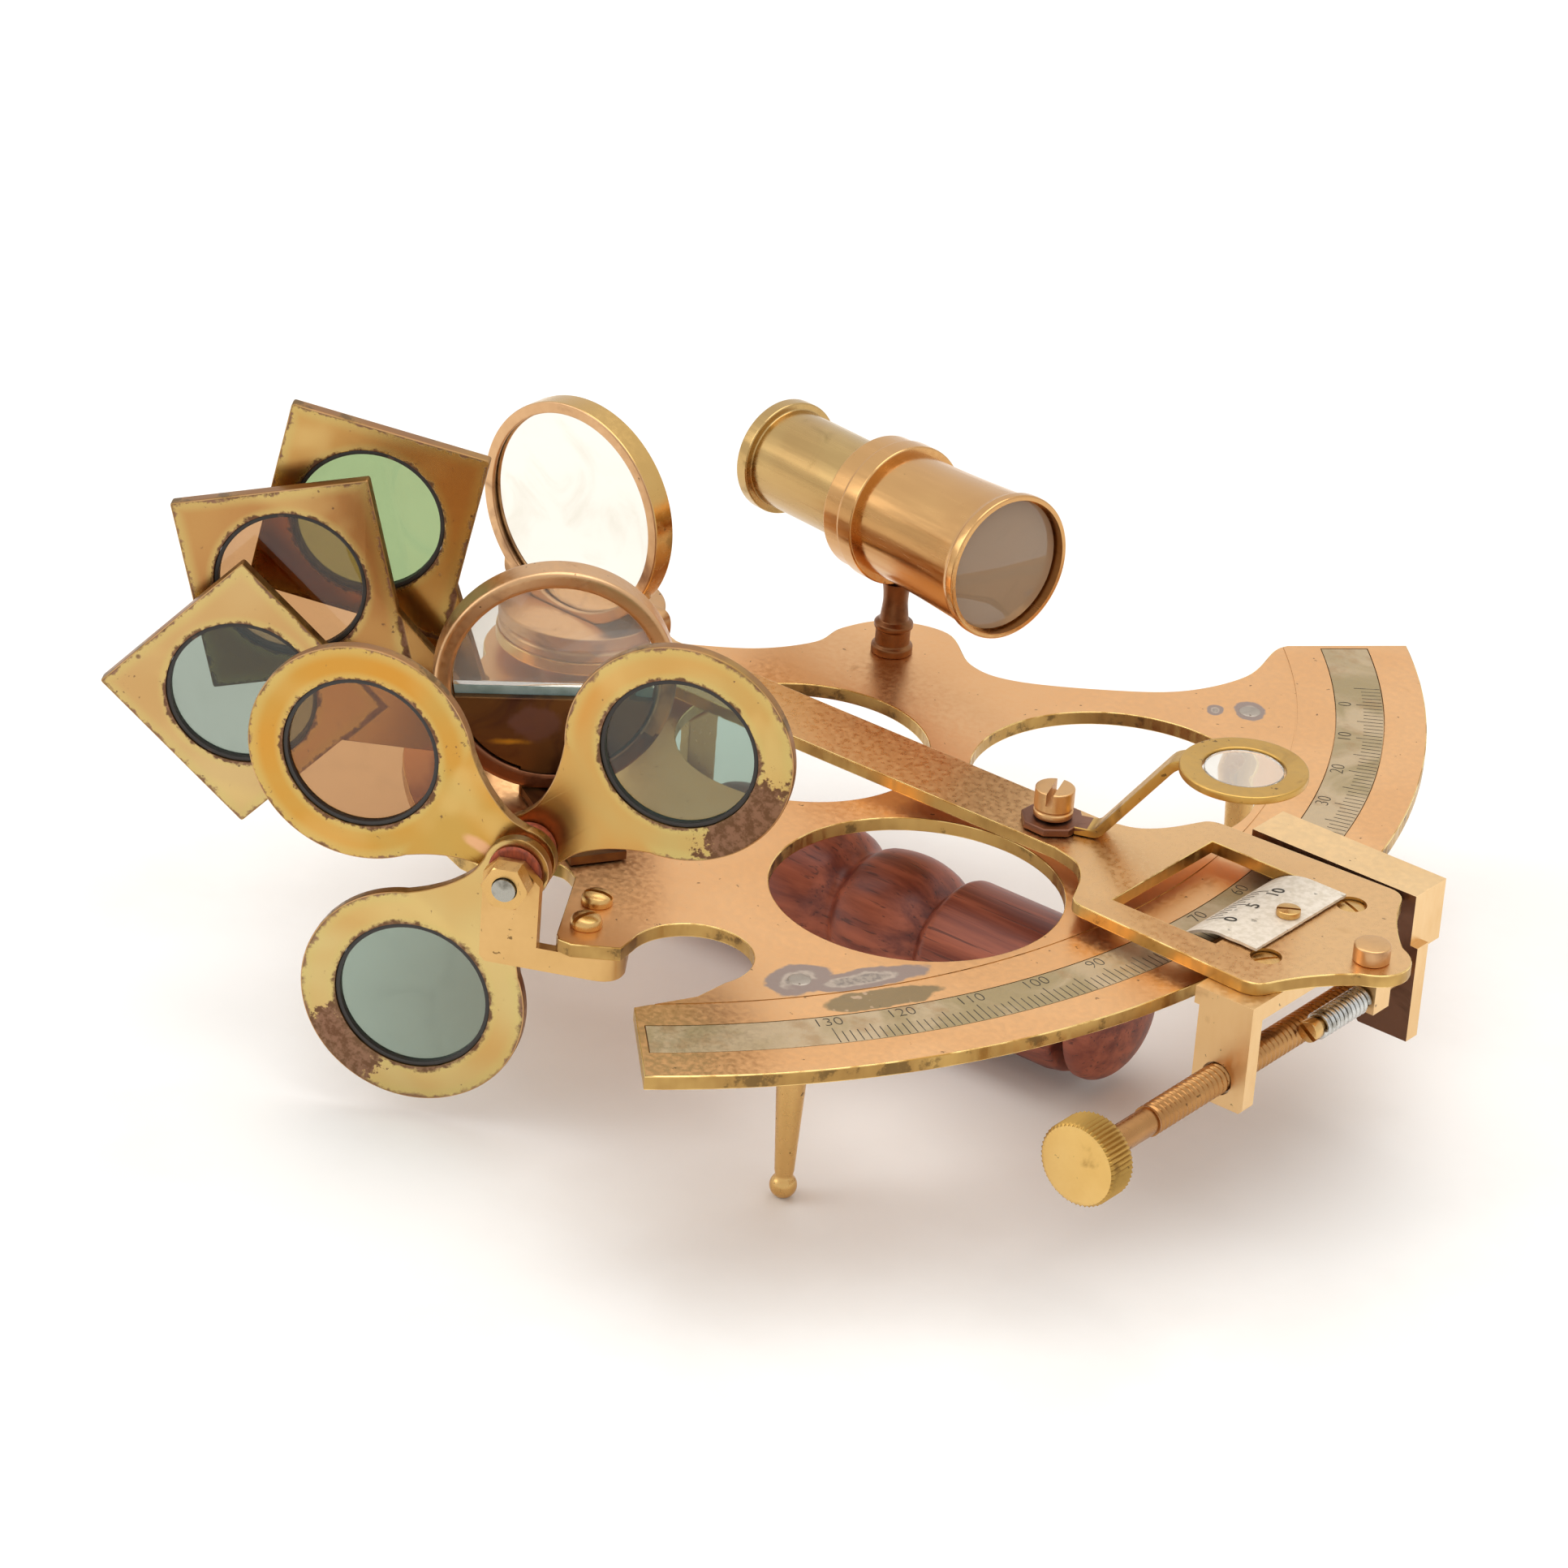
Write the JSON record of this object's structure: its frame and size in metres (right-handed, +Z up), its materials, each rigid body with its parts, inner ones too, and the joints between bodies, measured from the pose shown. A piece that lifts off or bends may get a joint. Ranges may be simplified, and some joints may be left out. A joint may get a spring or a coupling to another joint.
{
  "type": "nautical sextant",
  "caption": "Brass nautical sextant with index arm, vernier and tangent screw, two mirrors, six tinted shades, telescope, reading lens and wooden handle.",
  "frame": {"origin": "on the surface it stands on, straight under the index arm's pivot, at the flat foot of the apex leg", "axes": "+Z up, along the pivot; +X from the pivot to the middle of the arc; +Y towards the limb that carries the telescope"},
  "size_m": [0.2128, 0.2168, 0.1019],
  "materials": {
    "limb_brass": "polished with brown patina",
    "yellow_brass": "bright, lightly tarnished",
    "brown_brass": "browned",
    "silvered_scale": "silvered, matt",
    "steel": "bright",
    "rosewood": "oiled",
    "fibre": "red fibre",
    "mirror": "silvered glass",
    "clear_lens": "clear",
    "grey_glass": "grey green tint",
    "amber_glass": "brown tint",
    "green_glass": "green tint"
  },
  "bodies": {
    "frame": {"frame_plate": "limb_brass", "scale_arc": "silvered_scale", "leg_front": "yellow_brass", "leg_back": "yellow_brass", "leg_apex": "yellow_brass", "pivot_spindle": "steel", "handle_grip": "rosewood", "handle_cap": "rosewood", "handle_bracket_inner": "limb_brass", "handle_bracket_outer": "limb_brass", "handle_rod": "limb_brass", "telescope_post": "brown_brass", "horizon_ring": "limb_brass", "horizon_backing": "brown_brass", "horizon_glass": "mirror", "shade_bracket": "yellow_brass", "bracket_screw_1": "yellow_brass", "bracket_screw_2": "yellow_brass", "shade_bolt": "steel", "shade_nut": "yellow_brass", "shade_washer_1": "fibre", "shade_washer_2": "fibre", "shade_washer_3": "fibre", "index_shade_bracket": "limb_brass", "index_shade_bolt": "yellow_brass"},
    "clamp": {"clamp_block": "limb_brass", "spring_pin": "limb_brass", "tangent_spring": "steel"},
    "clamp_screw": {"clamp_screw": "yellow_brass"},
    "arm": {"index_arm": "limb_brass", "vernier_scale": "silvered_scale", "vernier_screw": "yellow_brass", "arm_screw_front": "yellow_brass", "arm_screw_back": "yellow_brass", "arm_stud": "limb_brass", "nut_bracket": "limb_brass", "mirror_base": "limb_brass", "mirror_ring": "limb_brass", "index_mirror": "mirror", "magnifier_screw": "limb_brass"},
    "screw": {"tangent_screw": "brown_brass"},
    "knob": {"tangent_knob": "yellow_brass"},
    "magnifier": {"magnifier_arm": "limb_brass", "magnifier_lens": "clear_lens"},
    "telescope": {"telescope_tube": "limb_brass", "objective_lens": "clear_lens"},
    "draw": {"draw_tube": "yellow_brass", "eyepiece_lens": "clear_lens"},
    "horizon_shade_1": {"horizon_shade_1": "yellow_brass", "horizon_shade_glass_1": "grey_glass"},
    "index_shade_1": {"index_shade_1": "yellow_brass", "index_shade_glass_1": "grey_glass"},
    "horizon_shade_2": {"horizon_shade_2": "yellow_brass", "horizon_shade_glass_2": "amber_glass"},
    "index_shade_2": {"index_shade_2": "yellow_brass", "index_shade_glass_2": "amber_glass"},
    "horizon_shade_3": {"horizon_shade_3": "yellow_brass", "horizon_shade_glass_3": "grey_glass"},
    "index_shade_3": {"index_shade_3": "yellow_brass", "index_shade_glass_3": "green_glass"}
  },
  "joints": [
    {"name": "arm_swing", "type": "hinge", "parent": "frame", "child": "clamp", "pos_m": [0, 0, 0.0445], "axis": [0, 0, 1], "range_deg": [-34, 32]},
    {"name": "arm_fine", "type": "hinge", "parent": "clamp", "child": "arm", "pos_m": [0, 0, 0.0445], "axis": [0, 0, 1], "range_deg": [-0.72, 0.09], "deforming": ["tangent_spring"]},
    {"name": "screw_travel", "type": "slide", "parent": "arm", "child": "screw", "axis": [0, 1, 0], "range_m": [-0.00026, 0.002]},
    {"name": "knob_turn", "type": "hinge", "parent": "screw", "child": "knob", "pos_m": [0.157, -0.061, 0.0282], "axis": [0, 1, 0], "range_deg": [-90, 720]},
    {"name": "clamp_screw_turn", "type": "hinge", "parent": "clamp", "child": "clamp_screw", "pos_m": [0.142, 0.02705, 0.03], "axis": [0, 0, 1], "range_deg": [-180, 30]},
    {"name": "magnifier_swivel", "type": "hinge", "parent": "arm", "child": "magnifier", "pos_m": [0.1038, -0.0006, 0.0465], "axis": [0, 0, 1], "range_deg": [-50, 30]},
    {"name": "telescope_swivel", "type": "hinge", "parent": "frame", "child": "telescope", "pos_m": [0.0396, 0.0391, 0.055], "axis": [0, 0, 1], "range_deg": [-82, 20]},
    {"name": "draw_tube_slide", "type": "slide", "parent": "telescope", "child": "draw", "axis": [-0.9734, 0.2213, -0.0588], "range_m": [-0.02, 0.005]},
    {"name": "horizon_shade_1_swing", "type": "hinge", "parent": "frame", "child": "horizon_shade_1", "pos_m": [0.05536, -0.08301, 0.04998], "axis": [0.4106, -0.9118, 0], "range_deg": [-150, 15]},
    {"name": "horizon_shade_2_swing", "type": "hinge", "parent": "frame", "child": "horizon_shade_2", "pos_m": [0.05383, -0.07962, 0.04998], "axis": [0.4106, -0.9118, 0], "range_deg": [-120, 80]},
    {"name": "horizon_shade_3_swing", "type": "hinge", "parent": "frame", "child": "horizon_shade_3", "pos_m": [0.05147, -0.07437, 0.04998], "axis": [0.4106, -0.9118, 0], "range_deg": [-1, 115]},
    {"name": "index_shade_1_swing", "type": "hinge", "parent": "frame", "child": "index_shade_1", "pos_m": [0.01523, -0.05236, 0.0498], "axis": [0.515, -0.8572, 0], "range_deg": [-60, 12]},
    {"name": "index_shade_2_swing", "type": "hinge", "parent": "frame", "child": "index_shade_2", "pos_m": [0.01286, -0.04841, 0.0498], "axis": [0.515, -0.8572, 0], "range_deg": [-45, 40]},
    {"name": "index_shade_3_swing", "type": "hinge", "parent": "frame", "child": "index_shade_3", "pos_m": [0.00987, -0.04342, 0.0498], "axis": [0.515, -0.8572, 0], "range_deg": [-60, 45]}
  ],
  "couplings": [
    {"joint": "screw_travel", "follows": "arm_fine", "m_per_rad": -0.157},
    {"joint": "knob_turn", "follows": "arm_fine", "ratio": -986.46}
  ]
}
